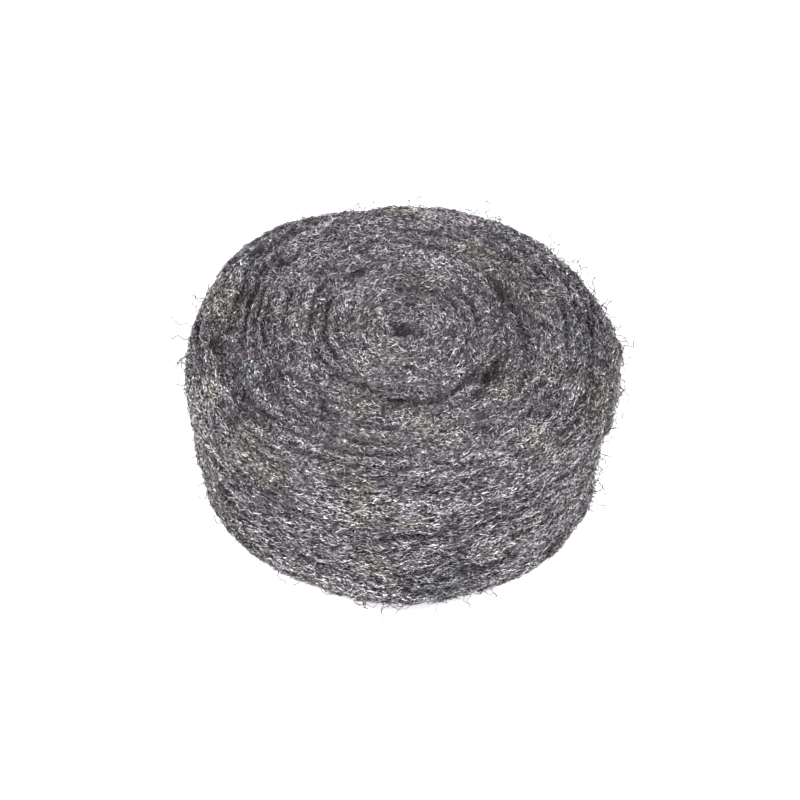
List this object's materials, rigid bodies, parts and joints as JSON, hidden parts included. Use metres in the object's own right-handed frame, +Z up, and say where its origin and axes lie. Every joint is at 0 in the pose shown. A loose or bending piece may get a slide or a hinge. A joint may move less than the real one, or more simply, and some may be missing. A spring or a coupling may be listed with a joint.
{
  "type": "steel wool roll",
  "caption": "Roll of steel wool: a batt of matted fine steel fibre wound on itself into a squat drum that stands on its end.",
  "frame": {"origin": "middle of the base, on the surface the roll stands on", "axes": "+Z up, along the axis that the batt is wound about; the loose end lies on the wall at +X"},
  "size_m": [0.1408, 0.139, 0.0708],
  "materials": {
    "steel_wool": "matted fine shaved steel fibre, bright glints over dark gaps"
  },
  "bodies": {
    "root": {"wool_roll": "steel_wool"}
  },
  "joints": []
}
